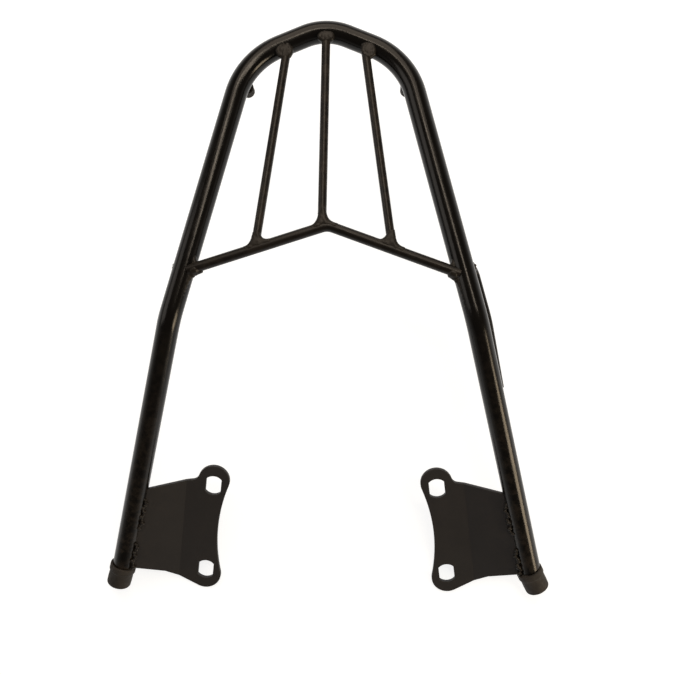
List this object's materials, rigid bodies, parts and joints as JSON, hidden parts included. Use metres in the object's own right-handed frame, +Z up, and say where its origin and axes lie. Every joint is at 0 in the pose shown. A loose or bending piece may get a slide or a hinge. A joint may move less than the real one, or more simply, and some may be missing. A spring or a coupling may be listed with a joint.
{
  "type": "motorcycle luggage rack",
  "caption": "Welded tubular rear luggage rack: a bent bow tube with dropped legs, a rod deck on a V cross rod, and folded mounting plates.",
  "frame": {"origin": "bottom centre of the whole rack's box", "axes": "+Z up, square to the level deck; +Y towards the rear bow of the deck; +X to the right seen from above with the bow at the top"},
  "size_m": [0.3839, 0.4731, 0.1226],
  "materials": {
    "painted_tube": "semi-gloss black paint on steel tube",
    "painted_rod": "semi-gloss black paint on round bar",
    "painted_plate": "satin black paint on flat plate",
    "painted_bead": "semi-gloss black paint over weld metal",
    "cap_rubber": "matte dark grey-brown rubber"
  },
  "bodies": {
    "root": {"main_tube": "painted_tube", "crossbar": "painted_rod", "bar_left": "painted_rod", "bar_centre": "painted_rod", "bar_right": "painted_rod", "plate_left": "painted_plate", "plate_right": "painted_plate", "cap_left": "cap_rubber", "cap_right": "cap_rubber", "post_left": "painted_rod", "post_right": "painted_rod", "post_tip_left": "cap_rubber", "post_tip_right": "cap_rubber", "strap_rod_left": "painted_rod", "strap_rod_right": "painted_rod", "weld_rear_left": "painted_bead", "weld_rear_centre": "painted_bead", "weld_rear_right": "painted_bead", "weld_foot_left": "painted_bead", "weld_foot_centre": "painted_bead", "weld_foot_right": "painted_bead", "weld_cross_left": "painted_bead", "weld_cross_right": "painted_bead", "weld_plate_left_rear": "painted_bead", "weld_plate_left_front": "painted_bead", "weld_plate_right_rear": "painted_bead", "weld_plate_right_front": "painted_bead", "weld_post_left": "painted_bead", "weld_post_right": "painted_bead", "weld_strap_left_rear": "painted_bead", "weld_strap_left_front": "painted_bead", "weld_strap_right_rear": "painted_bead", "weld_strap_right_front": "painted_bead"}
  },
  "joints": []
}
